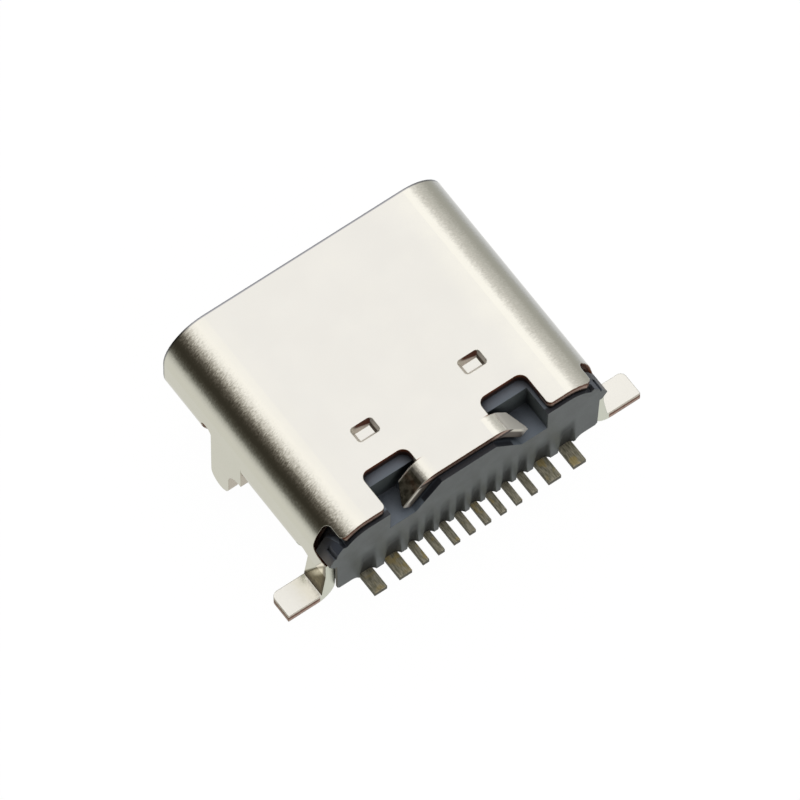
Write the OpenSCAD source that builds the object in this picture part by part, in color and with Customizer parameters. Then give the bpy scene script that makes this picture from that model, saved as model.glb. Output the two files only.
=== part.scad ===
// Board-mounted usb-c socket with sixteen contacts: stamped shell, moulded insulator with its tongue,
// middle ground plate, two grounding collars and sixteen bent contacts.
// Millimetres. The origin is on the board plane, at the middle of the shell's length and width.
// -Y is the mouth, +Y the solder tails, +Z up from the board.

/* [Shell] */
// Outside width of the shell
shell_w = 8.94; // [8.94:0.02:9.06]
// Outside height of the shell
shell_h = 3.16; // [3.16:0.02:3.26]
// Length of the shell, from its mouth to its rear edge
shell_l = 7.40; // [7.3:0.05:7.5]
// Outside radius of the shell's four long corners
shell_r = 1.28; // [1.2:0.02:1.4]
// Thickness of the shell's sheet
sheet_t = 0.30; // [0.28:0.01:0.30]
// Width of the seam that closes the shell's underside
seam_gap = 0.05; // [0.04:0.01:0.08]

/* [Solder feet] */
// Distance between the outer ends of the two rear wings
wing_span = 11.32; // [11:0.02:11.4]
// Width of a rear wing along the shell
wing_w = 0.80; // [0.76:0.01:0.82]
// How far a front leg reaches below the board plane
leg_drop = 1.05; // [0.9:0.05:1.4]
// Width of a front leg where it passes through the board
leg_w = 0.78; // [0.7:0.02:0.82]

/* [Tongue] */
// Width of the tongue
tongue_w = 6.69; // [6.65:0.01:6.7]
// Thickness of the tongue over its contacts
tongue_t = 0.70; // [0.7:0.01:0.72]
// How far the tongue's tip lies inside the mouth
tongue_recess = 1.10; // [1:0.05:1.2]
// Depth from the mouth to the cavity's rear wall
cavity_depth = 6.19; // [6.2:0.01:6.24]

/* [Contacts] */
// Distance between neighbouring contacts on the tongue
pitch = 0.50; // [0.5:0.005:0.51]
// Width of a contact's blade on the tongue
blade_w = 0.25; // [0.22:0.01:0.26]
// Thickness of the contact strip
strip_t = 0.15; // [0.13:0.01:0.15]
// Width of a signal contact's solder tail
signal_tail_w = 0.20; // [0.18:0.01:0.24]
// Width of a power or ground solder tail
power_tail_w = 0.40; // [0.38:0.01:0.44]
// Distance from the mouth to the ends of the solder tails
tail_reach = 8.00; // [7.9:0.01:8.05]

/* [Hidden] */
$fn = 64;
eps = 0.1; // how far a cutter runs past the face that it cuts
axis_z = shell_h / 2; // height of the shell's and the tongue's middle
front_y = -shell_l / 2;
rear_y = shell_l / 2;
tail_y = front_y + tail_reach;
side_x = shell_w / 2; // outer face of the shell's flat sides
flat_x = side_x - shell_r; // half width of the flat top and underside
flat_z = shell_h - shell_r; // the sides are flat up to here

// Front legs and the windows that they are cut from
leg_y0 = -1.565;
leg_y1 = -0.225;
window_x = 2.45;
window_y0 = -2.025;
window_y1 = 0.125;
window_top = 1.32;
window_back_top = 1.10;
leg_shoulder_z = 0.32;
leg_fillet = 0.52;

// Rear arms and wings
arm_y0 = 2.80;
arm_y1 = arm_y0 + wing_w;
arm_relief_y = 2.24;
arm_relief_top = 1.24;
wing_bend = 0.58; // radius of the bend's underside
arm_splay = 0.13; // the arm's outer face leans out by this much before the bend
arm_splay_z = 1.15; // and starts to lean here
wing_corner = 0.18; // radius of the wing's front corner
bottom_end_y = 2.85; // rear edge of the shell's underside

// Cut-outs at the rear of the shell
notch_x0 = 1.15;
notch_x1 = 2.61;
notch_y = 2.51;
notch_r = 0.25;
plate_corner = 0.14;
tab_y = rear_y - 0.07; // rear edge of the top between the notches, and of the hooks
lug_cut_y = 3.02;
lug_cut_z = 1.76;
lug_cut_angle = 50; // round the shell's upper corner, from its side
lug_cut_r = 0.22; // radius of its upper corner
lug_cut_foot_r = 0.36; // radius of its lower corner
lug_tip_x = 3.77; // from here the sheet's rear edge curves into the opening
lug_tip_r = 0.28;

// Hooks that hold the insulator
hook_x = 0.89;
hook_y = 3.02;
hook_angle = 47;
hook_bend = 0.50; // inside radius of the bend
hook_short = 0.37;
hook_long = 0.76;
hook_lap = 0.02; // how far its flat part runs back into the bend

// Pressed dimples
dimple_x = 1.715;
dimple_y = 1.52;
dimple_w = 0.70;
dimple_l = 0.50;
dimple_depth = 0.20; // pressed in this far from outside
dimple_boss = 0.07; // and standing out this far inside
dimple_run = 0.12; // width of its sloping sides
dimple_corner = 0.12;

// Mouth lead-in
lead_in = 0.10;

// Insulator
wall_y = front_y + cavity_depth; // rear wall of the cavity
collar_t = 0.10;
flange_inset = sheet_t + 0.30;
block_y1 = 3.79;
block_lean = 0.08; // the rear face leans in by this much at the board
slip = 0.02; // clearance between the insulator and the shell
lower_x = 4.13;
lower_y0 = bottom_end_y + 0.06;
lower_z = 0.12;
lower_draft = 0.08; // the lower block narrows by this much on each side
shoulder_z = 0.39; // underside of the lower block's raised ends
shoulder_x = 3.46;
shoulder_r = 0.28;
flange_x = 4.22; // half width of the lower block behind the arms
flange_draft = 0.04;
flange_corner = 0.07;
lug_y = 3.14;
lug_z0 = 1.88;
lug_foot = 0.16; // how much lower it reaches behind the arms
lug_groove_y = 3.40;
pocket_x = 2.52;
pocket_y = 2.83;
pocket_z = 2.04;
scoop_top_z = 1.50;
scoop_r = 0.20;
scoop_lean = 8; // how far the scoops lean from upright
root_w = 6.80;
root_t = 1.00;
root_y = 1.15;
tip_y = front_y + tongue_recess;
tip_chamfer = 0.14;
tip_corner = 0.35;
proud = 0.02; // how far the contacts stand out of the tongue
plastic_t = tongue_t - 2 * proud;
latch_y0 = -0.95;
latch_y1 = 0.15;
latch_depth = 0.40;

// Middle plate
plate_t = 0.15;
plate_y0 = tip_y + 0.16;
plate_y1 = 3.00;
plate_neck_w = 5.90;
plate_hole_r = 0.30;
plate_hole_x = 1.50;

// Contacts
upper_z = axis_z + tongue_t / 2 - strip_t;
lower_row_z = axis_z - tongue_t / 2;
power_front_y = tip_y + 0.45;
signal_front_y = tip_y + 0.95;
jog_y0 = 1.25;
jog_y1 = 2.60;
strip_bend = 0.10; // inside radius of a contact's bends
upper_drop_y = 3.30; // front face of an upper contact's vertical leg
lower_drop_y = 3.05; // front face of a lower contact's vertical leg
blade_nose = 0.06;

// Each contact: name, column on the tongue counted from the middle in half pitches, tail x, true if power.
UPPER = [
    ["contact_a1", -11, -3.20, true], ["contact_a4", -5, -2.40, true],
    ["contact_a5", -3, -1.25, false], ["contact_a6", -1, -0.25, false],
    ["contact_a7", 1, 0.25, false], ["contact_a8", 3, 1.25, false],
    ["contact_a9", 5, 2.40, true], ["contact_a12", 11, 3.20, true]
];
LOWER = [
    ["contact_b12", -11, -3.20, true], ["contact_b9", -5, -2.40, true],
    ["contact_b8", -3, -1.75, false], ["contact_b7", -1, -0.75, false],
    ["contact_b6", 1, 0.75, false], ["contact_b5", 3, 1.75, false],
    ["contact_b4", 5, 2.40, true], ["contact_b1", 11, 3.20, true]
];

// ---- helpers ----

// A flat shape drawn in X and Z, swept along Y from y0 to y1.
module along_y(y0, y1)
    translate([0, y1, 0]) rotate([90, 0, 0]) linear_extrude(y1 - y0) children();

// A flat shape drawn in Y and Z, swept along X from x0 to x1.
module along_x(x0, x1)
    translate([x0, 0, 0]) rotate([90, 0, 90]) linear_extrude(x1 - x0) children();

// A flat shape drawn in X and Y, swept up from z0 to z1.
module along_z(z0, z1)
    translate([0, 0, z0]) linear_extrude(z1 - z0) children();

module both_sides()
    for (m = [0, 1]) mirror([m, 0, 0]) children();

// A rectangle from its lowest to its highest corner.
module span(a, b)
    translate(a) square([b[0] - a[0], b[1] - a[1]]);

module rounded_rect(w, h, r) {
    square([w - 2 * r, h], center = true);
    square([w, h - 2 * r], center = true);
    for (x = [-1, 1], y = [-1, 1])
        translate([x * (w / 2 - r), y * (h / 2 - r)]) circle(r);
}

// The shell's outline, drawn in by the inset all round.
module outline(inset)
    translate([0, axis_z]) rounded_rect(shell_w - 2 * inset, shell_h - 2 * inset, shell_r - inset);

// The share of a ring between two angles; the sector spans less than 180 degrees.
module ring_sector(r_in, r_out, a0, a1)
    intersection() {
        difference() {
            circle(r_out);
            circle(r_in);
        }
        polygon([[0, 0], for (a = [a0, (a0 + a1) / 2, a1]) 2 * r_out * [cos(a), sin(a)]]);
    }

// What a concave fillet adds in the corner at the origin, towards +X and +Y.
module fillet(r)
    difference() {
        square(r);
        translate([r, r]) circle(r);
    }

// ---- shell ----

module shell_section() difference() {
    outline(0);
    outline(sheet_t);
}

// The lead-in round the mouth's inner edge: a cone in each corner and a sloping wedge along each side.
module mouth_lead_in() {
    r = shell_r - sheet_t;
    w = side_x - sheet_t;
    h = axis_z - sheet_t;
    y0 = front_y;
    y1 = front_y + lead_in;
    translate([0, 0, axis_z]) {
        for (x = [-1, 1], z = [-1, 1]) translate([x * (w - r), y0, z * (h - r)])
            rotate([-90, 0, 0]) cylinder(h = lead_in, r1 = r + lead_in, r2 = r);
        along_x(r - w, w - r) polygon([[y0, -h - lead_in], [y1, -h], [y1, h], [y0, h + lead_in]]);
        along_z(r - h, h - r) polygon([[-w - lead_in, y0], [-w, y1], [w, y1], [w + lead_in, y0]]);
    }
}

// A slot up the shell's side, beside a leg or an arm, with a round top.
module side_relief(y0, y1, top) {
    r = (y1 - y0) / 2;
    along_x(window_x, side_x + eps) {
        span([y0, -eps], [y1, top - r]);
        translate([y0 + r, top - r]) circle(r);
    }
}

// The window in the shell's lower corner that a front leg was cut from.
module leg_window() {
    side_relief(window_y0, leg_y0, window_top);
    side_relief(leg_y1, window_y1, window_back_top);
    along_x(window_x, side_x + eps) span([leg_y0 - eps, -eps], [leg_y1 + eps, window_back_top - 0.2]);
    along_x(side_x - 2 * sheet_t, side_x + eps) span([leg_y0 - eps, -eps], [leg_y1, window_back_top]);
}

// Everything below and behind a rear arm.
module arm_clearance() {
    side_relief(arm_relief_y, arm_y0, arm_relief_top);
    along_x(window_x, side_x + eps) {
        span([arm_y0 - eps, -eps], [rear_y + eps, arm_relief_top - 0.2]);
        span([arm_y1, -eps], [rear_y + eps, lug_cut_z + eps]);
    }
}

// The opening at the shell's upper rear corner for the insulator's lug, cut square to the curved sheet.
module lug_opening() {
    reach = 2 * shell_r;
    foot_y = lug_cut_y + lug_cut_foot_r;
    foot_z = lug_cut_z + lug_cut_foot_r;
    corner_y = lug_cut_y + lug_cut_r;
    corner_angle = lug_cut_angle - asin(lug_cut_r / (shell_r + 0.01));
    module sector(z, angle) intersection() {
        polygon([[flat_x, 0], [flat_x + reach, 0], [flat_x + reach, flat_z + reach * tan(angle)],
                 [flat_x, flat_z]]);
        span([0, z], [flat_x + reach, flat_z + 2 * reach]);
    }
    along_y(foot_y, rear_y + eps) sector(lug_cut_z, lug_cut_angle);
    along_y(corner_y, foot_y + eps) sector(foot_z, lug_cut_angle);
    along_y(lug_cut_y, corner_y + eps) sector(foot_z, corner_angle);
    along_x(side_x - 2 * sheet_t, side_x + eps)
        translate([foot_y, foot_z]) circle(lug_cut_foot_r);
    translate([flat_x, corner_y, flat_z])
        rotate([0, 90 - corner_angle, 0]) cylinder(h = reach, r = lug_cut_r);
    along_z(flat_z, shell_h + eps) difference() {
        span([lug_tip_x, rear_y - lug_tip_r], [side_x, rear_y + eps]);
        translate([lug_tip_x, rear_y - lug_tip_r + 0.01]) circle(lug_tip_r);
    }
}

// The rear notch in the top, beside a hook, with the hook's own sheet taken out.
module rear_notch()
    along_z(shell_h - sheet_t - eps, shell_h + eps) {
        span([notch_x0 + notch_r, notch_y], [notch_x1 - notch_r, rear_y + eps]);
        span([notch_x0, notch_y + notch_r], [notch_x1, rear_y + eps]);
        for (x = [notch_x0 + notch_r, notch_x1 - notch_r])
            translate([x, notch_y + notch_r]) circle(notch_r);
        span([hook_x, hook_y], [notch_x0 + eps, rear_y + eps]);
        span([-eps, tab_y], [hook_x + eps, rear_y + eps]);
        translate([notch_x1, rear_y]) rotate(-90) fillet(plate_corner);
    }

// The line along which the two edges of the sheet meet under the shell, with one dovetail.
module seam() {
    depth = 0.55;
    flare = 0.14;
    path = [[0, front_y - eps], [0, -0.55], [-depth, -0.55 - flare],
            [-depth, 0.55 + flare], [0, 0.55], [0, bottom_end_y + eps]];
    along_z(-eps, sheet_t + eps) intersection() {
        square([2 * flat_x, 2 * shell_l], center = true);
        for (i = [0 : len(path) - 2]) {
            step = path[i + 1] - path[i];
            translate(path[i]) {
                rotate(atan2(step[1], step[0])) translate([0, -seam_gap / 2])
                    square([norm(step), seam_gap]);
                circle(d = seam_gap);
            }
        }
    }
}

// A pressed dimple's form, from the sheet's surface at z = 0 down to its flat floor.
module dimple(depth, above)
    intersection() {
        along_y(-dimple_l, dimple_l) sloping_sides(dimple_w, depth, above);
        along_x(-dimple_w, dimple_w) sloping_sides(dimple_l, depth, above);
        along_z(-depth, above) rounded_rect(dimple_w, dimple_l, dimple_corner);
    }

module sloping_sides(w, depth, above)
    polygon([[-w / 2, above], [-w / 2, 0], [-w / 2 + dimple_run, -depth],
             [w / 2 - dimple_run, -depth], [w / 2, 0], [w / 2, above]]);

// A dimple on each side, in the top and in the underside.
module at_dimples()
    both_sides() for (m = [0, 1])
        translate([dimple_x, dimple_y, axis_z]) mirror([0, 0, m]) translate([0, 0, axis_z]) children();

module front_leg() {
    tip_r = leg_w / 2;
    along_x(side_x - sheet_t, side_x) {
        span([leg_y0, leg_shoulder_z], [leg_y1, axis_z]);
        span([leg_y0, -leg_drop + tip_r], [leg_y0 + leg_w, leg_shoulder_z]);
        translate([leg_y0 + tip_r, -leg_drop + tip_r]) circle(tip_r);
        translate([leg_y0 + leg_w, leg_shoulder_z]) rotate(-90) fillet(leg_fillet);
    }
}

// A rear arm that leans out a little and turns into a flat wing on the board plane.
module rear_arm() {
    inner_x = side_x - sheet_t;
    bend_x = inner_x + wing_bend;
    tip_x = wing_span / 2;
    along_y(arm_y0, arm_y1) difference() {
        polygon([[inner_x, 0], [bend_x, 0], [bend_x, sheet_t], [side_x + arm_splay, sheet_t],
                 [side_x, arm_splay_z], [side_x, axis_z], [inner_x, axis_z]]);
        translate([inner_x, 0]) fillet(wing_bend);
    }
    along_z(0, sheet_t) {
        span([bend_x, arm_y0], [tip_x - wing_corner, arm_y1]);
        span([bend_x, arm_y0 + wing_corner], [tip_x, arm_y1]);
        translate([tip_x - wing_corner, arm_y0 + wing_corner]) circle(wing_corner);
    }
}

// A tab at the top's rear edge that is bent down into the insulator's pocket, longer at its rear.
module hook() {
    r_out = hook_bend + sheet_t;
    difference() {
        along_y(hook_y, tab_y) translate([hook_x, shell_h - r_out]) {
            ring_sector(hook_bend, r_out, 90 - hook_angle, 90);
            rotate(-hook_angle) span([-hook_lap, hook_bend], [hook_long, r_out]);
        }
        translate([hook_x, 0, shell_h - r_out]) rotate([0, hook_angle, 0]) along_z(0, r_out + eps)
            polygon([[hook_short, hook_y], [hook_long, tab_y - 0.1], [hook_long + eps, tab_y - 0.1],
                     [hook_long + eps, hook_y - eps], [hook_short, hook_y - eps]]);
    }
}

module shell() color([0.80, 0.79, 0.74])
    difference() {
        union() {
            difference() {
                along_y(front_y, rear_y) shell_section();
                mouth_lead_in();
                both_sides() {
                    leg_window();
                    arm_clearance();
                    lug_opening();
                    rear_notch();
                }
                along_z(-eps, axis_z) span([-flat_x - eps, bottom_end_y], [flat_x + eps, rear_y + eps]);
                seam();
            }
            both_sides() {
                front_leg();
                rear_arm();
                hook();
            }
            at_dimples() translate([0, 0, -sheet_t]) dimple(dimple_boss, sheet_t / 2);
        }
        at_dimples() dimple(dimple_depth, eps);
    }

// ---- contacts ----

// The flat run of a contact seen from above: a blade, a sloping jog and a straight lead to the bend.
module contact_plan(x0, x1, front, end, w_end)
    polygon([
        [x0 - blade_w / 2 + blade_nose, front], [x0 + blade_w / 2 - blade_nose, front],
        [x0 + blade_w / 2, front + blade_nose], [x0 + blade_w / 2, jog_y0],
        [x1 + w_end / 2, jog_y1], [x1 + w_end / 2, end],
        [x1 - w_end / 2, end], [x1 - w_end / 2, jog_y1],
        [x0 - blade_w / 2, jog_y0], [x0 - blade_w / 2, front + blade_nose]
    ]);

// Where a contact turns down and, unless it stands on its neighbour's tail, turns back to its own tail.
module contact_drop(z, drop_y, own_tail) {
    r_out = strip_bend + strip_t;
    translate([drop_y - strip_bend, z - strip_bend]) ring_sector(strip_bend, r_out, 0, 90);
    if (own_tail) {
        span([drop_y, r_out], [drop_y + strip_t, z - strip_bend]);
        translate([drop_y + r_out, r_out]) ring_sector(strip_bend, r_out, 180, 270);
        span([drop_y + r_out, 0], [tail_y, strip_t]);
    } else {
        span([drop_y, strip_t], [drop_y + strip_t, z - strip_bend]);
    }
}

module contact(c, z, drop_y, own_tail) {
    x0 = c[1] * pitch / 2;
    x1 = c[2];
    w_end = c[3] ? power_tail_w : signal_tail_w;
    front = c[3] ? power_front_y : signal_front_y;
    color([0.78, 0.66, 0.36]) union() {
        along_z(z, z + strip_t) contact_plan(x0, x1, front, drop_y - strip_bend, w_end);
        along_x(x1 - w_end / 2, x1 + w_end / 2) contact_drop(z, drop_y, own_tail);
    }
}

// An upper power contact stands on the tail of the lower one below it, and they share one solder pad.
module upper_contact(c) contact(c, upper_z, upper_drop_y, !c[3]);
module lower_contact(c) contact(c, lower_row_z, lower_drop_y, true);

// ---- middle plate ----

// The ground plate between the two rows, with the notches that a plug's latches snap into.
module middle_plate() color([0.62, 0.62, 0.60])
    along_z(axis_z - plate_t / 2, axis_z + plate_t / 2) difference() {
        union() {
            span([-tongue_w / 2 + tip_corner, plate_y0], [tongue_w / 2 - tip_corner, root_y]);
            span([-tongue_w / 2, tip_y + tip_corner], [tongue_w / 2, root_y]);
            span([-plate_neck_w / 2, root_y - eps], [plate_neck_w / 2, plate_y1]);
        }
        both_sides() {
            span([tongue_w / 2 - latch_depth, latch_y0], [tongue_w / 2 + eps, latch_y1]);
            for (y = [-0.6, 1.7]) translate([plate_hole_x, y]) circle(plate_hole_r);
        }
    }

// ---- grounding collars ----

// Half of the metal collar round the tongue's root, with the flange that faces the cavity.
module collar_half(gap)
    difference() {
        union() {
            along_y(root_y, wall_y + collar_t / 2)
                translate([0, axis_z]) rounded_rect(root_w + 2 * collar_t, root_t + 2 * collar_t, 0.2);
            along_y(wall_y, wall_y + collar_t) outline(flange_inset);
        }
        along_y(root_y - eps, wall_y + 2 * collar_t) translate([0, axis_z])
            square([root_w, root_t], center = true);
        along_z(-eps, axis_z + gap) square([shell_w, 2 * shell_l], center = true);
    }

module upper_collar() color([0.70, 0.70, 0.68]) collar_half(0.03);

module lower_collar() color([0.66, 0.66, 0.64])
    translate([0, 0, axis_z]) mirror([0, 0, 1]) translate([0, 0, -axis_z]) collar_half(0.03);

// ---- insulator ----

// The lug that fills the opening at the shell's upper rear corner: two facets with a groove along
// their ridge, a front end that slopes back and a foot that reaches lower behind the arm.
module lug() {
    difference() {
        along_y(lug_y, block_y1)
            polygon([[flat_x, lug_z0], [4.40, lug_z0], [4.46, 1.94], [4.27, 2.26], [4.03, 2.58],
                     [flat_x + 0.3, 2.30]]);
        along_x(flat_x, side_x)
            polygon([[lug_y - eps, 2.34], [lug_y + 0.16, 2.48], [lug_y + 0.60, 2.62], [lug_y + 0.60, 2.8],
                     [lug_y - eps, 2.8]]);
        along_y(lug_groove_y, block_y1 + eps) polygon([[4.34, 2.26], [4.24, 2.18], [4.18, 2.42], [4.30, 2.42]]);
    }
    along_y(arm_y1 + 0.05, block_y1)
        polygon([[flat_x, lug_z0 - lug_foot], [4.30, lug_z0 - lug_foot], [4.46, 1.94], [flat_x, 2.2]]);
}

// The lower block behind the shell's underside, whose ends are raised off the board and widen behind the arms.
module lower_block() {
    both_sides() along_y(arm_y1 + 0.05, block_y1)
        polygon([[0, shoulder_z], [flange_x - flange_draft - flange_corner, shoulder_z],
                 [flange_x - flange_draft, shoulder_z + flange_corner], [flange_x, lug_z0], [0, lug_z0]]);
    along_y(lower_y0, block_y1) {
        span([-shoulder_x, lower_z], [shoulder_x, axis_z]);
        both_sides() {
            polygon([[0, shoulder_z], [lower_x - lower_draft, shoulder_z], [lower_x, axis_z], [0, axis_z]]);
            translate([shoulder_x, shoulder_z]) mirror([0, 1]) fillet(shoulder_r);
        }
    }
}

module tongue() {
    intersection() {
        along_x(-tongue_w / 2, tongue_w / 2) translate([0, axis_z]) polygon([
            [tip_y, -plastic_t / 2 + tip_chamfer], [tip_y + tip_chamfer, -plastic_t / 2],
            [root_y + eps, -plastic_t / 2], [root_y + eps, plastic_t / 2],
            [tip_y + tip_chamfer, plastic_t / 2], [tip_y, plastic_t / 2 - tip_chamfer]
        ]);
        along_z(0, shell_h) {
            span([-tongue_w / 2 + tip_corner, tip_y], [tongue_w / 2 - tip_corner, root_y + eps]);
            span([-tongue_w / 2, tip_y + tip_corner], [tongue_w / 2, root_y + eps]);
            both_sides() translate([tongue_w / 2 - tip_corner, tip_y + tip_corner]) circle(tip_corner);
        }
    }
    along_y(root_y, wall_y + eps) translate([0, axis_z]) square([root_w, root_t], center = true);
}

// The pocket that a hook reaches into, its inner wall sloping beside the hook.
module hook_pocket() {
    along_y(pocket_y, block_y1 + eps)
        polygon([[hook_x - 0.08, shell_h], [hook_x - 0.08, 2.90], [1.70, pocket_z],
                 [pocket_x, pocket_z], [pocket_x, shell_h]]);
}

// The round scoop in the rear face above a tail, deepest at the board.
module tail_scoop(x, w)
    translate([x, block_y1, scoop_top_z]) rotate([-scoop_lean, 0, 0]) translate([0, scoop_r, -2 * shell_h]) {
        spread = w / 2 - 0.1;
        for (dx = [-spread, spread]) translate([dx, 0]) cylinder(h = 3 * shell_h, r = scoop_r);
        if (spread > 0) translate([-spread, -scoop_r]) cube([2 * spread, 2 * scoop_r, 3 * shell_h]);
    }

module insulator() color([0.16, 0.17, 0.19])
    difference() {
        union() {
            along_y(wall_y, block_y1) outline(sheet_t + slip);
            lower_block();
            both_sides() lug();
            tongue();
        }
        both_sides() {
            hook_pocket();
            along_z(0, shell_h) span([tongue_w / 2 - latch_depth + 0.05, latch_y0], [shell_w, latch_y1]);
        }
        along_x(-side_x, side_x)
            polygon([[block_y1, shell_h - sheet_t], [block_y1 - block_lean, 0],
                     [block_y1 + eps, 0], [block_y1 + eps, shell_h - sheet_t]]);
        for (c = LOWER) tail_scoop(c[2], c[3] ? power_tail_w : signal_tail_w);
        for (c = UPPER) if (!c[3]) tail_scoop(c[2], signal_tail_w);
        for (c = UPPER) upper_contact(c);
        for (c = LOWER) lower_contact(c);
        middle_plate();
        upper_collar();
        lower_collar();
    }

shell();
insulator();
middle_plate();
upper_collar();
lower_collar();
for (c = UPPER) upper_contact(c);
for (c = LOWER) lower_contact(c);
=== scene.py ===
import math

import bpy
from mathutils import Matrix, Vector


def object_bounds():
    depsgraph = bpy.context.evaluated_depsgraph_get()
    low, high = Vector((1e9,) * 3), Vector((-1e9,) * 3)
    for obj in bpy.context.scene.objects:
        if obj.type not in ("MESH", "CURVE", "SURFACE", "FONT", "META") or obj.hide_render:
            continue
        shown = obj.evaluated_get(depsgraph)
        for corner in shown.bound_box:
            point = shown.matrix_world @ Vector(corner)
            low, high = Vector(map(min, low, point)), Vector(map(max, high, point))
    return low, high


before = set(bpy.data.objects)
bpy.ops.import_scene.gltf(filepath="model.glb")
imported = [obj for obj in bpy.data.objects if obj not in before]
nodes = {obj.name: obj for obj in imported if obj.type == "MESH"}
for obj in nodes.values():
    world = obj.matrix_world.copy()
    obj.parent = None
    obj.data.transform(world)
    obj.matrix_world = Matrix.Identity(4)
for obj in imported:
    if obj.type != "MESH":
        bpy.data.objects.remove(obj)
cad_lo, cad_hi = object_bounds()
MM = 0.001

scene = bpy.context.scene
scene.view_settings.view_transform = "Standard"

# ---------------------------------------------------------------- camera
AZIMUTH = math.radians(144.33)
ELEVATION = math.radians(61.95)
LENS = 800.0  # a long lens, so that parallel edges stay nearly parallel
SENSOR = 36.0
FIELD = 20.8986 * MM  # width of the view where the part stands
# the middle of the view, counted to the right and up from the ends of the solder tails
AIM_FROM = Vector((0, cad_hi.y, 0))
AIM_RIGHT = -2.1051 * MM
AIM_UP = 3.3689 * MM

right = Vector((math.cos(AZIMUTH), math.sin(AZIMUTH), 0))
back = Vector((math.sin(AZIMUTH) * math.cos(ELEVATION),
               -math.cos(AZIMUTH) * math.cos(ELEVATION),
               math.sin(ELEVATION)))
up = back.cross(right)
camera_data = bpy.data.cameras.new("camera")
camera_data.lens = LENS
camera_data.sensor_width = SENSOR
camera_data.clip_start = 0.01
camera_data.clip_end = 10
camera = bpy.data.objects.new("camera", camera_data)
scene.collection.objects.link(camera)
camera.location = AIM_FROM + right * AIM_RIGHT + up * AIM_UP + back * (FIELD * LENS / SENSOR)
camera.rotation_mode = "QUATERNION"
camera.rotation_quaternion = (-back).to_track_quat("-Z", "Y")
scene.camera = camera


# ---------------------------------------------------------------- node helpers
def is_socket(value):
    return isinstance(value, bpy.types.NodeSocket)


def linear(r, g, b):
    """A colour written as it shows on a screen, 0 to 255."""
    def one(c):
        return c / 12.92 if c <= 0.04045 else ((c + 0.055) / 1.055) ** 2.4
    return tuple(one(c / 255) for c in (r, g, b))


def darker(colour, factor):
    return tuple(c * factor for c in colour)


class Nodes:
    """A node tree that is written as nested calls. Each call makes a node and returns its output."""

    def __init__(self, tree):
        self.tree = tree
        tree.nodes.clear()

    def fill(self, slot, value):
        if is_socket(value):
            self.tree.links.new(value, slot)
        elif slot.type == "RGBA":
            slot.default_value = (*value[:3], 1)
        else:
            slot.default_value = value

    def add(self, kind, out=0, **given):
        """What is given is a setting, or an input by its name or by i and its number."""
        node = self.tree.nodes.new(kind)
        inputs = {}
        for key, value in given.items():
            if hasattr(node, key) and not is_socket(value):
                setattr(node, key, value)
            else:
                inputs[key] = value
        for key, value in inputs.items():
            numbered = key[0] == "i" and key[1:].isdigit()
            self.fill(node.inputs[int(key[1:]) if numbered else key.replace("_", " ")], value)
        return node.outputs[out] if len(node.outputs) else None

    def math(self, operation, a, b=0.0):
        return self.add("ShaderNodeMath", operation=operation, i0=a, i1=b)

    def chain(self, operation, first, rest):
        for value in rest:
            first = self.math(operation, first, value)
        return first

    def plus(self, first, *rest):
        return self.chain("ADD", first, rest)

    def minus(self, a, b):
        return self.math("SUBTRACT", a, b)

    def times(self, first, *rest):
        return self.chain("MULTIPLY", first, rest)

    def larger(self, first, *rest):
        return self.chain("MAXIMUM", first, rest)

    def size(self, value):
        return self.math("ABSOLUTE", value)

    def sign(self, value):
        return self.math("SIGN", value)

    def over(self, value, limit):
        return self.math("GREATER_THAN", value, limit)

    def under(self, value, limit):
        return self.math("LESS_THAN", value, limit)

    def within(self, value, lo, hi):
        return self.times(self.over(value, lo), self.under(value, hi))

    def ramp(self, value, lo, hi, to_lo=0.0, to_hi=1.0, smooth=True):
        """to_lo where the value is lo, to_hi where it is hi, and between them on the way."""
        return self.add("ShaderNodeMapRange", interpolation_type="SMOOTHSTEP" if smooth else "LINEAR",
                        clamp=True, Value=value, From_Min=lo, From_Max=hi, To_Min=to_lo, To_Max=to_hi)

    def pick(self, factor, a, b):
        """The number b where the factor is 1, a where it is 0."""
        return self.add("ShaderNodeMix", data_type="FLOAT", i0=factor, i2=a, i3=b)

    def mix(self, factor, a, b):
        """The colour b where the factor is 1, a where it is 0."""
        return self.add("ShaderNodeMix", out=2, data_type="RGBA", i0=factor, i6=a, i7=b)

    def split(self, vector):
        return self.add("ShaderNodeSeparateXYZ", i0=vector).node.outputs

    def light_path(self, kind):
        return self.add("ShaderNodeLightPath", out=kind)


class Surface(Nodes):
    """A material's nodes, with the place and the face's own direction at each point.

    side is the distance from the part's middle plane, and away is how far a face looks out from that plane.
    """

    def __init__(self, name):
        self.material = bpy.data.materials.new(name)
        self.material.use_nodes = True
        super().__init__(self.material.node_tree)
        self.at = self.add("ShaderNodeTexCoord", out="Object")
        self.x, self.y, self.z = self.split(self.at)
        self.side = self.size(self.x)
        face = self.add("ShaderNodeNewGeometry", out="True Normal")
        self.true_x, self.true_y, self.up = self.split(face)
        self.away = self.times(self.true_x, self.sign(self.x))

    def noise(self, scale, detail=3.0, rough=0.5, stretch=(1, 1, 1)):
        moved = self.add("ShaderNodeMapping", i0=self.at, Scale=stretch)
        return self.add("ShaderNodeTexNoise", Vector=moved, Scale=scale, Detail=detail, Roughness=rough)

    def swing(self, noise, amount):
        """Noise turned into a number that swings round 0."""
        return self.times(self.minus(noise, 0.5), amount)

    def soft_edges(self, radius, samples=4):
        return self.add("ShaderNodeBevel", samples=samples, Radius=radius)

    def bump(self, height, strength, **given):
        return self.add("ShaderNodeBump", Strength=strength, Distance=0.01 * MM, Height=height, **given)

    def finish(self, **given):
        shader = self.add("ShaderNodeBsdfPrincipled", **given)
        self.add("ShaderNodeOutputMaterial", Surface=shader)
        return self.material


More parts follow.
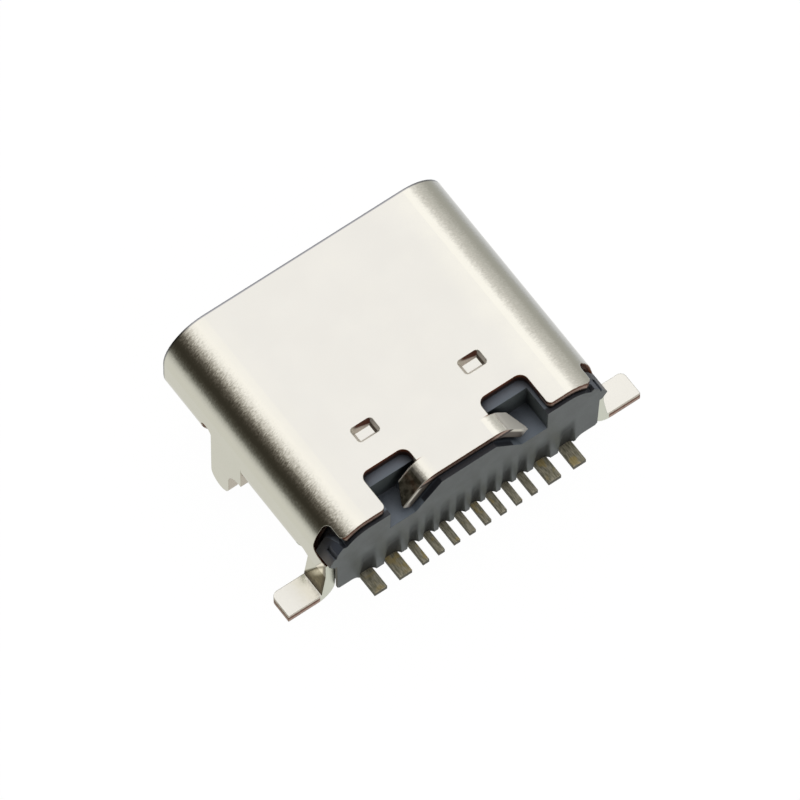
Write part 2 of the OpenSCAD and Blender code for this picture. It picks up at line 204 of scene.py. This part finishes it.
# ---------------------------------------------------------------- the shell
SIDE_X = 4.47 * MM  # outer face of the shell's flat sides
SHELL_R = 1.28 * MM  # outer radius of its rolled corners
FLAT_X = SIDE_X - SHELL_R
FLAT_Z = cad_hi.z - SHELL_R
ARM_X = 4.10 * MM  # the arms and legs hang outside here
WING_X = 4.65 * MM  # the wings lie outside here
WING_TOP = 0.22 * MM
REAR_Y = 2.50 * MM  # the wings stand behind here
HOOK_ROOT_X = 0.90 * MM  # each hook lies between here
HOOK_TIP_X = 2.20 * MM  # and here
HOOK_Y = 2.90 * MM  # the hooks stand behind here
DIMPLE_X = 1.715 * MM  # middle of a dimple
PLATE = linear(246, 243, 234)


def turned_to(s, outward, upward):
    """How squarely a face looks along a direction, either way."""
    return s.size(s.plus(s.times(s.away, outward), s.times(s.up, upward)))


def shell_areas(s):
    """Where the wings, arms and hooks are."""
    wing = s.times(s.over(s.y, REAR_Y), s.over(s.side, WING_X))
    arm = s.times(s.over(s.y, 2.2 * MM), s.within(s.side, ARM_X, WING_X), s.under(s.z, 1.74 * MM))
    hook = s.times(s.within(s.side, HOOK_ROOT_X, HOOK_TIP_X), s.under(s.z, 2.84 * MM), s.over(s.y, HOOK_Y))
    return wing, arm, hook


def sheet_section(s, wing, hook):
    """1 on the sheet's stamped edges and 0 on its skin, and the depth below its outer face."""
    out_x = s.larger(s.minus(s.side, FLAT_X), 0.0)
    out_z = s.minus(s.z, s.math("MINIMUM", s.larger(s.z, SHELL_R), FLAT_Z))
    out = s.math("SQRT", s.plus(s.times(out_x, out_x), s.times(out_z, out_z)))
    out = s.larger(out, 0.001 * MM)
    skin = turned_to(s, s.math("DIVIDE", out_x, out), s.math("DIVIDE", out_z, out))
    # the legs hang straight down, and the arms bend out into the wings
    low = s.times(s.over(s.side, ARM_X), s.under(s.z, 0.6 * MM))
    low_skin = s.pick(s.over(s.y, REAR_Y), turned_to(s, 1.0, 0.0), turned_to(s, 0.707, -0.707))
    skin = s.pick(low, skin, low_skin)
    skin = s.pick(wing, skin, turned_to(s, 0.0, 1.0))
    skin = s.pick(hook, skin, turned_to(s, 0.5, 0.866))
    depth = s.pick(wing, s.minus(SHELL_R, out), s.minus(WING_TOP, s.z))
    return s.ramp(skin, 0.6, 0.35), depth


def stamped_edge(s, burr, arm, hook):
    """By depth below the outer face: a painted highlight at the face, then brown and tan bands that are
    partly the edge's burnished and torn zones and partly painted reflections of the dark horizon and the
    pale floor, then a painted shade band, with painted shade in the notches.
    """
    # painted reflection bands: brown near the face, tan below
    edge = s.mix(s.ramp(burr, 0.08 * MM, 0.14 * MM), linear(104, 60, 36), linear(178, 152, 138))
    edge = s.mix(s.ramp(burr, 0.18 * MM, 0.24 * MM), edge, linear(56, 46, 42))
    edge = s.mix(s.ramp(burr, 0.03 * MM, 0.0 * MM), edge, linear(206, 198, 184))
    notched = s.times(s.within(s.y, 2.3 * MM, 3.3 * MM), s.within(s.side, 1.0 * MM, 2.75 * MM))
    # painted shade in the notches: rust-brown near the outer face, darker below
    notch_shade = s.mix(s.ramp(burr, 0.06 * MM, 0.18 * MM), linear(168, 92, 56), linear(84, 56, 46))
    edge = s.mix(notched, edge, notch_shade)
    edge = s.mix(arm, edge, linear(226, 228, 214))
    return s.mix(hook, edge, hook_edge(s))


def hook_edge(s):
    """A hook's edge with a painted highlight line along its outer face over painted shadow, greyer at the
    tip.
    """
    slope_x = s.times(s.minus(s.side, 0.89 * MM), 0.731)
    slope_z = s.times(s.minus(s.z, 2.36 * MM), 0.682)
    depth = s.minus(0.80 * MM, s.plus(slope_x, slope_z))
    edge = s.mix(s.ramp(depth, 0.05 * MM, 0.12 * MM), linear(226, 222, 210), linear(98, 90, 82))
    return s.mix(s.ramp(s.side, 1.75 * MM, 1.9 * MM), edge, linear(190, 186, 178))


def dimple_walls(s):
    """Where the top dimples' sloping walls are, and their colour, painted light and shade by the way each
    wall faces: brown at the front, paler at the rear.
    """
    walls = s.times(s.within(s.y, 1.0 * MM, 2.0 * MM), s.under(s.side, 2.3 * MM), s.over(s.z, 2.5 * MM),
                    s.ramp(s.up, 0.93, 0.75))
    inward = s.times(s.sign(s.x), s.minus(s.side, DIMPLE_X))
    high = s.minus(s.z, s.times(inward, 0.2))
    front = s.mix(s.ramp(high, 3.02 * MM, 3.08 * MM), linear(206, 196, 186), linear(86, 48, 34))
    front = s.mix(s.ramp(inward, 0.10 * MM, 0.30 * MM), front, linear(206, 200, 186))
    end = s.mix(s.ramp(s.z, 3.07 * MM, 3.03 * MM), linear(206, 202, 194), linear(92, 84, 76))
    # painted light and shade: the colour follows which way each wall faces
    colour = s.mix(s.ramp(s.true_y, 0.0, 0.3), linear(204, 196, 186), front)
    return walls, s.mix(s.ramp(s.true_x, 0.2, 0.6), colour, end)


def arm_painted_reflection(s, arm, speck):
    """A painted reflection on an arm's outer face, below a line that climbs to the rear: brown, with a
    painted highlight streak and painted shade at the rear edge and lower down.
    """
    face = s.times(arm, s.over(s.away, 0.6), s.over(s.side, 4.4 * MM))
    rise = s.minus(s.times(s.minus(s.y, 2.80 * MM), 1.75), s.minus(s.z, 0.50 * MM))
    # painted highlight streak
    streak = s.times(s.ramp(rise, 0.08 * MM, 0.27 * MM), s.ramp(rise, 0.60 * MM, 0.34 * MM),
                     s.ramp(s.z, 0.45 * MM, 1.1 * MM), s.ramp(s.y, 3.52 * MM, 3.42 * MM))
    shaded = s.larger(s.ramp(s.y, 3.46 * MM, 3.54 * MM), s.ramp(s.z, 0.62 * MM, 0.38 * MM))
    brown = s.mix(s.ramp(speck, 0.3, 0.7), linear(100, 92, 66), linear(140, 130, 102))
    brown = s.mix(shaded, brown, linear(84, 74, 52))
    return s.times(face, s.ramp(rise, 0.0, 0.12 * MM)), s.mix(streak, brown, linear(238, 232, 212))


def hook_painted_shade(s):
    """Where the hooks' outward slopes are less metallic and take a painted dark reflection, mottled, with
    painted highlight rims at the front and rear.
    """
    shaded_hook_slope = s.times(s.ramp(s.up, 0.95, 0.78), s.over(s.away, 0.2),
                   s.within(s.side, HOOK_ROOT_X, HOOK_TIP_X), s.over(s.y, HOOK_Y))
    blotch = s.noise(7000.0, 2.0, 0.5)
    hook_shade = s.mix(s.ramp(blotch, 0.35, 0.65), linear(58, 54, 44), linear(96, 92, 80))
    rim_highlight = s.larger(s.ramp(s.y, 3.075 * MM, 3.03 * MM), s.ramp(s.y, 3.585 * MM, 3.62 * MM))
    return shaded_hook_slope, s.mix(rim_highlight, hook_shade, linear(214, 210, 200))


def rolled_grain(s):
    """A normal that short hairs, a slow swell and the top's slight crown tilt across the sheet's roll."""
    soft_x, soft_y, soft_z = s.split(s.soft_edges(0.035 * MM, samples=6))
    flatness = s.size(soft_z)
    grain = s.noise(1.0, 2.5, 0.6, stretch=(12000, 28000, 12000))
    swell = s.noise(1.0, 2.0, 0.5, stretch=(900, 1500, 900))
    fray = s.times(s.ramp(flatness, 0.45, 0.8, 0.10, 0.28), s.ramp(flatness, 0.96, 1.0, 1.0, 0.3))
    crown = s.times(s.ramp(s.side, 2.4 * MM, FLAT_X, 0.0, 0.045), s.ramp(s.side, 3.9 * MM, FLAT_X))
    tilt = s.plus(s.swing(grain, fray), s.swing(swell, 0.05), s.times(crown, s.sign(s.x), s.sign(s.up)))
    tilted = s.add("ShaderNodeCombineXYZ", X=s.plus(soft_x, s.times(soft_z, tilt)), Y=soft_y,
                   Z=s.minus(soft_z, s.times(soft_x, tilt)))
    return s.add("ShaderNodeVectorMath", operation="NORMALIZE", i0=tilted)


def shell_metal():
    """Plated sheet: a mirror-like skin and rougher stamped edges, with painted highlights, reflections and
    shade on the edges, the front lip, the dimples, the arms and the hooks.
    """
    s = Surface("plated_steel")
    wing, arm, hook = shell_areas(s)
    cut, depth = sheet_section(s, wing, hook)
    speck = s.noise(16000.0, 3.0, 0.6)
    burr = s.plus(depth, s.swing(speck, 0.10 * MM))
    colour = s.mix(s.ramp(s.noise(700.0, 3.0, 0.55), 0.35, 0.65), PLATE, darker(PLATE, 0.985))
    colour = s.mix(cut, colour, stamped_edge(s, burr, arm, hook))
    # painted reflection: a grey line along the mouth's front edge
    front_edge_reflection = s.ramp(s.y, cad_lo.y + 0.07 * MM, cad_lo.y + 0.02 * MM)
    colour = s.mix(front_edge_reflection, colour, linear(150, 150, 156))
    pressed, wall = dimple_walls(s)
    colour = s.mix(pressed, colour, wall)
    # painted reflection on the arms' outer faces
    painted_on_arm, arm_reflection = arm_painted_reflection(s, arm, speck)
    colour = s.mix(painted_on_arm, colour, arm_reflection)
    shaded_hook_slope, hook_shade = hook_painted_shade(s)
    # only the hook on the +X side gets this painted dark reflection
    colour = s.mix(s.times(shaded_hook_slope, s.over(s.x, 0.0)), colour, hook_shade)
    rough = s.ramp(s.larger(cut, pressed), 0.0, 1.0, 0.07, 0.38, smooth=False)
    rough = s.larger(rough, s.times(wing, 0.24))
    metal = s.ramp(s.larger(shaded_hook_slope, pressed), 0.0, 1.0, 1.0, 0.35, smooth=False)
    return s.finish(Base_Color=colour, Metallic=metal, Roughness=rough, Normal=rolled_grain(s))


# ---------------------------------------------------------------- the insulator
TAIL_PITCH = 0.5 * MM
WIDE_TAIL_PITCH = 0.8 * MM
WIDE_TAILS_X = 2.03 * MM  # the wide tails stand outside here
TAILS_END_X = 3.60 * MM  # and none stands outside here


def lug_facets(s):
    """Where the lugs' outer faces are, and their colour, painted light and shade: dark at the front, grey to
    blue towards the top.
    """
    lug = s.times(s.over(s.side, 3.9 * MM), s.over(s.away, 0.6))
    lug_light_and_shade = s.mix(s.ramp(s.z, 1.95 * MM, 2.35 * MM), linear(114, 110, 107), linear(64, 70, 82))
    return lug, s.mix(s.ramp(s.y, 3.2 * MM, 3.6 * MM), linear(42, 42, 44), lug_light_and_shade)


def shade_above_tails(s):
    """Painted shade: dark patches that fade upward above each tail, on the faces that look to the rear."""
    narrow = s.math("COSINE", s.times(s.minus(s.side, TAIL_PITCH / 2), math.tau / TAIL_PITCH))
    wide = s.math("COSINE", s.times(s.side, math.tau / WIDE_TAIL_PITCH))
    wave = s.pick(s.over(s.side, WIDE_TAILS_X), narrow, wide)
    height = s.plus(s.z, s.swing(s.noise(1800.0, 2.0, 0.5), 0.6 * MM))
    return s.times(s.ramp(wave, -0.85, 0.45), s.under(s.side, TAILS_END_X), s.over(s.true_y, 0.1),
                   s.ramp(height, 1.75 * MM, 0.60 * MM))


def plastic():
    """Moulded black resin: grey on upright faces and a painted bluish reflection on flat ones, with painted
    shade in gaps, under the plate's rear edge and above the tails.
    """
    s = Surface("black_lcp")
    colour = s.mix(s.ramp(s.noise(1500.0, 4.0, 0.6), 0.3, 0.7), linear(77, 83, 84), linear(89, 96, 97))
    # painted reflection: faces that look up are bluer
    colour = s.mix(s.ramp(s.up, 0.3, 0.85), colour, linear(108, 117, 128))
    # painted shadow on the strip under the plate's rear edge
    plate_edge_shadow = s.times(s.over(s.up, 0.4), s.over(s.z, 2.3 * MM), s.ramp(s.y, 3.58 * MM, 3.66 * MM))
    colour = s.mix(plate_edge_shadow, colour, linear(40, 43, 50))
    lug, lug_light_and_shade = lug_facets(s)
    colour = s.mix(lug, colour, lug_light_and_shade)
    # painted shade above the tails, also rougher there
    tail_shade = shade_above_tails(s)
    colour = s.mix(s.times(tail_shade, 0.9), colour, linear(18, 22, 22))
    # painted shade: darker where little space is open around, in gaps and pockets
    openness = s.add("ShaderNodeAmbientOcclusion", out="AO", samples=8, Distance=0.7 * MM)
    colour = s.mix(s.ramp(openness, 0.2, 0.75), darker(linear(70, 78, 92), 0.12), colour)
    bump = s.bump(s.noise(12000.0, 3.0, 0.6), 0.35, Normal=s.soft_edges(0.03 * MM))
    rough = s.ramp(tail_shade, 0.0, 1.0, 0.42, 0.75, smooth=False)
    return s.finish(Base_Color=colour, Roughness=rough, Normal=bump)


# ---------------------------------------------------------------- the contacts and the inner steel
def contact_metal():
    """Dull gold flash over copper alloy, streaked along the strips and worn to olive, with painted shade on
    their sides.
    """
    s = Surface("gold_flash")
    streak = s.noise(1.0, 3.0, 0.6, stretch=(26000, 5000, 12000))
    patch = s.noise(2600.0, 2.0, 0.5)
    colour = s.mix(s.ramp(streak, 0.3, 0.7), linear(150, 146, 124), linear(214, 207, 186))
    colour = s.mix(s.times(s.ramp(patch, 0.52, 0.66), 0.7), colour, linear(214, 192, 128))
    # painted shade on faces that look sideways
    colour = s.mix(s.ramp(s.size(s.up), 0.6, 0.3), colour, linear(104, 100, 88))
    bump = s.bump(s.noise(9000.0, 3.0, 0.6), 0.4, Normal=s.soft_edges(0.02 * MM))
    return s.finish(Base_Color=colour, Metallic=1.0, Roughness=0.5, Normal=bump)


def steel(name, shade):
    """Plain rolled sheet, with a fine grain along the part."""
    s = Surface(name)
    grain = s.noise(4000.0, 3.0, 0.6, stretch=(1, 0.15, 1))
    colour = s.mix(s.ramp(grain, 0.3, 0.7), linear(*(c - 8 for c in shade)), linear(*shade))
    return s.finish(Base_Color=colour, Metallic=1.0, Roughness=0.3, Normal=s.bump(grain, 0.3))


spring_steel = steel("spring_steel", (206, 204, 198))
finishes = {
    "shell": (shell_metal(), "shell"),
    "insulator": (plastic(), "insulator"),
    "middle_plate": (steel("rolled_steel", (200, 198, 192)), "middle_plate"),
    "upper_collar": (spring_steel, "collars"),
    "lower_collar": (spring_steel, "collars"),
}
contact_finish = (contact_metal(), "contacts")

for name, piece in nodes.items():
    look, slot = finishes.get(name, contact_finish)
    piece.data.materials.clear()
    piece.data.materials.append(look)


# ---------------------------------------------------------------- floor
FLOOR_RADIUS = 0.5
FLOOR_SIDES = 96


def floor_look():
    """White to the camera and in reflections, with a trace of a plain surface that takes the shadow."""
    made = bpy.data.materials.new("floor")
    made.use_nodes = True
    n = Nodes(made.node_tree)
    seen = n.larger(n.light_path("Is Camera Ray"), n.light_path("Is Glossy Ray"),
                    n.light_path("Is Transmission Ray"))
    lit = n.add("ShaderNodeBsdfDiffuse", Color=(0.9, 0.9, 0.9))
    glow = n.add("ShaderNodeEmission", Color=(1, 1, 1), Strength=1.02)
    n.add("ShaderNodeOutputMaterial",
          Surface=n.add("ShaderNodeMixShader", i0=n.times(seen, 0.96), i1=lit, i2=glow))
    return made


def disc(name, radius, z):
    turns = [math.tau * i / FLOOR_SIDES for i in range(FLOOR_SIDES)]
    ring = [(radius * math.cos(a), radius * math.sin(a), z) for a in turns]
    mesh = bpy.data.meshes.new(name)
    mesh.from_pydata(ring, [], [tuple(range(FLOOR_SIDES))])
    made = bpy.data.objects.new(name, mesh)
    scene.collection.objects.link(made)
    return made


floor = disc("floor", FLOOR_RADIUS, cad_lo.z)
floor.data.materials.append(floor_look())
floor.visible_glossy = False

# ---------------------------------------------------------------- world
# The studio's tones by the angle from straight up towards +X, in degrees: a dark gap on the +X side,
# a grey wall on the -X side and a bright ceiling.
SET_TONES = [
    (-180, (0.66, 0.66, 0.62)), (-163, (0.80, 0.80, 0.79)), (-150, (0.73, 0.73, 0.73)),
    (-137, (0.615, 0.625, 0.64)), (-127, (0.545, 0.56, 0.575)), (-117, (0.455, 0.465, 0.47)),
    (-107, (0.385, 0.39, 0.375)), (-97, (0.365, 0.37, 0.345)), (-87, (0.365, 0.365, 0.34)),
    (-77, (0.42, 0.42, 0.395)), (-67, (0.505, 0.505, 0.48)), (-57, (0.58, 0.575, 0.55)),
    (-47, (0.745, 0.74, 0.72)), (-37, (1.045, 1.04, 1.02)), (-27, (1.035, 1.03, 1.01)),
    (-17, (0.925, 0.925, 0.945)), (0, (0.98, 0.975, 0.965)), (12, (1.02, 1.01, 0.985)),
    (23, (0.925, 0.915, 0.89)), (33, (0.64, 0.625, 0.59)), (43, (0.295, 0.28, 0.25)),
    (53, (0.105, 0.096, 0.08)), (63, (0.048, 0.043, 0.033)), (73, (0.033, 0.03, 0.022)),
    (83, (0.035, 0.032, 0.024)), (93, (0.06, 0.057, 0.045)), (103, (0.157, 0.157, 0.138)),
    (113, (0.42, 0.425, 0.39)), (123, (0.565, 0.57, 0.53)), (133, (0.615, 0.62, 0.57)),
    (155, (0.61, 0.615, 0.56)), (180, (0.64, 0.64, 0.60)),
]
SET_PEAK = 1.05  # a ramp's colours end at 1, so it holds the tones divided by this

world = bpy.data.worlds.new("studio")
scene.world = world
world.use_nodes = True
w = Nodes(world.node_tree)
toward_x, toward_y, toward_z = w.split(w.add("ShaderNodeTexCoord", out="Generated"))
turn = w.math("DIVIDE", w.math("ARCTAN2", toward_x, toward_z), math.tau)
tone = w.add("ShaderNodeValToRGB", i0=w.plus(turn, 0.5))
stops = tone.node.color_ramp.elements
while len(stops) < len(SET_TONES):
    stops.new(0.5)
for stop, (degrees, shade) in zip(stops, SET_TONES):
    stop.position = (degrees + 180) / 360
    stop.color = (*(c / SET_PEAK for c in shade), 1)
seen = w.mix(w.light_path("Is Camera Ray"), tone, [1 / SET_PEAK] * 3)
w.add("ShaderNodeOutputWorld", Surface=w.add("ShaderNodeBackground", Color=seen, Strength=SET_PEAK))
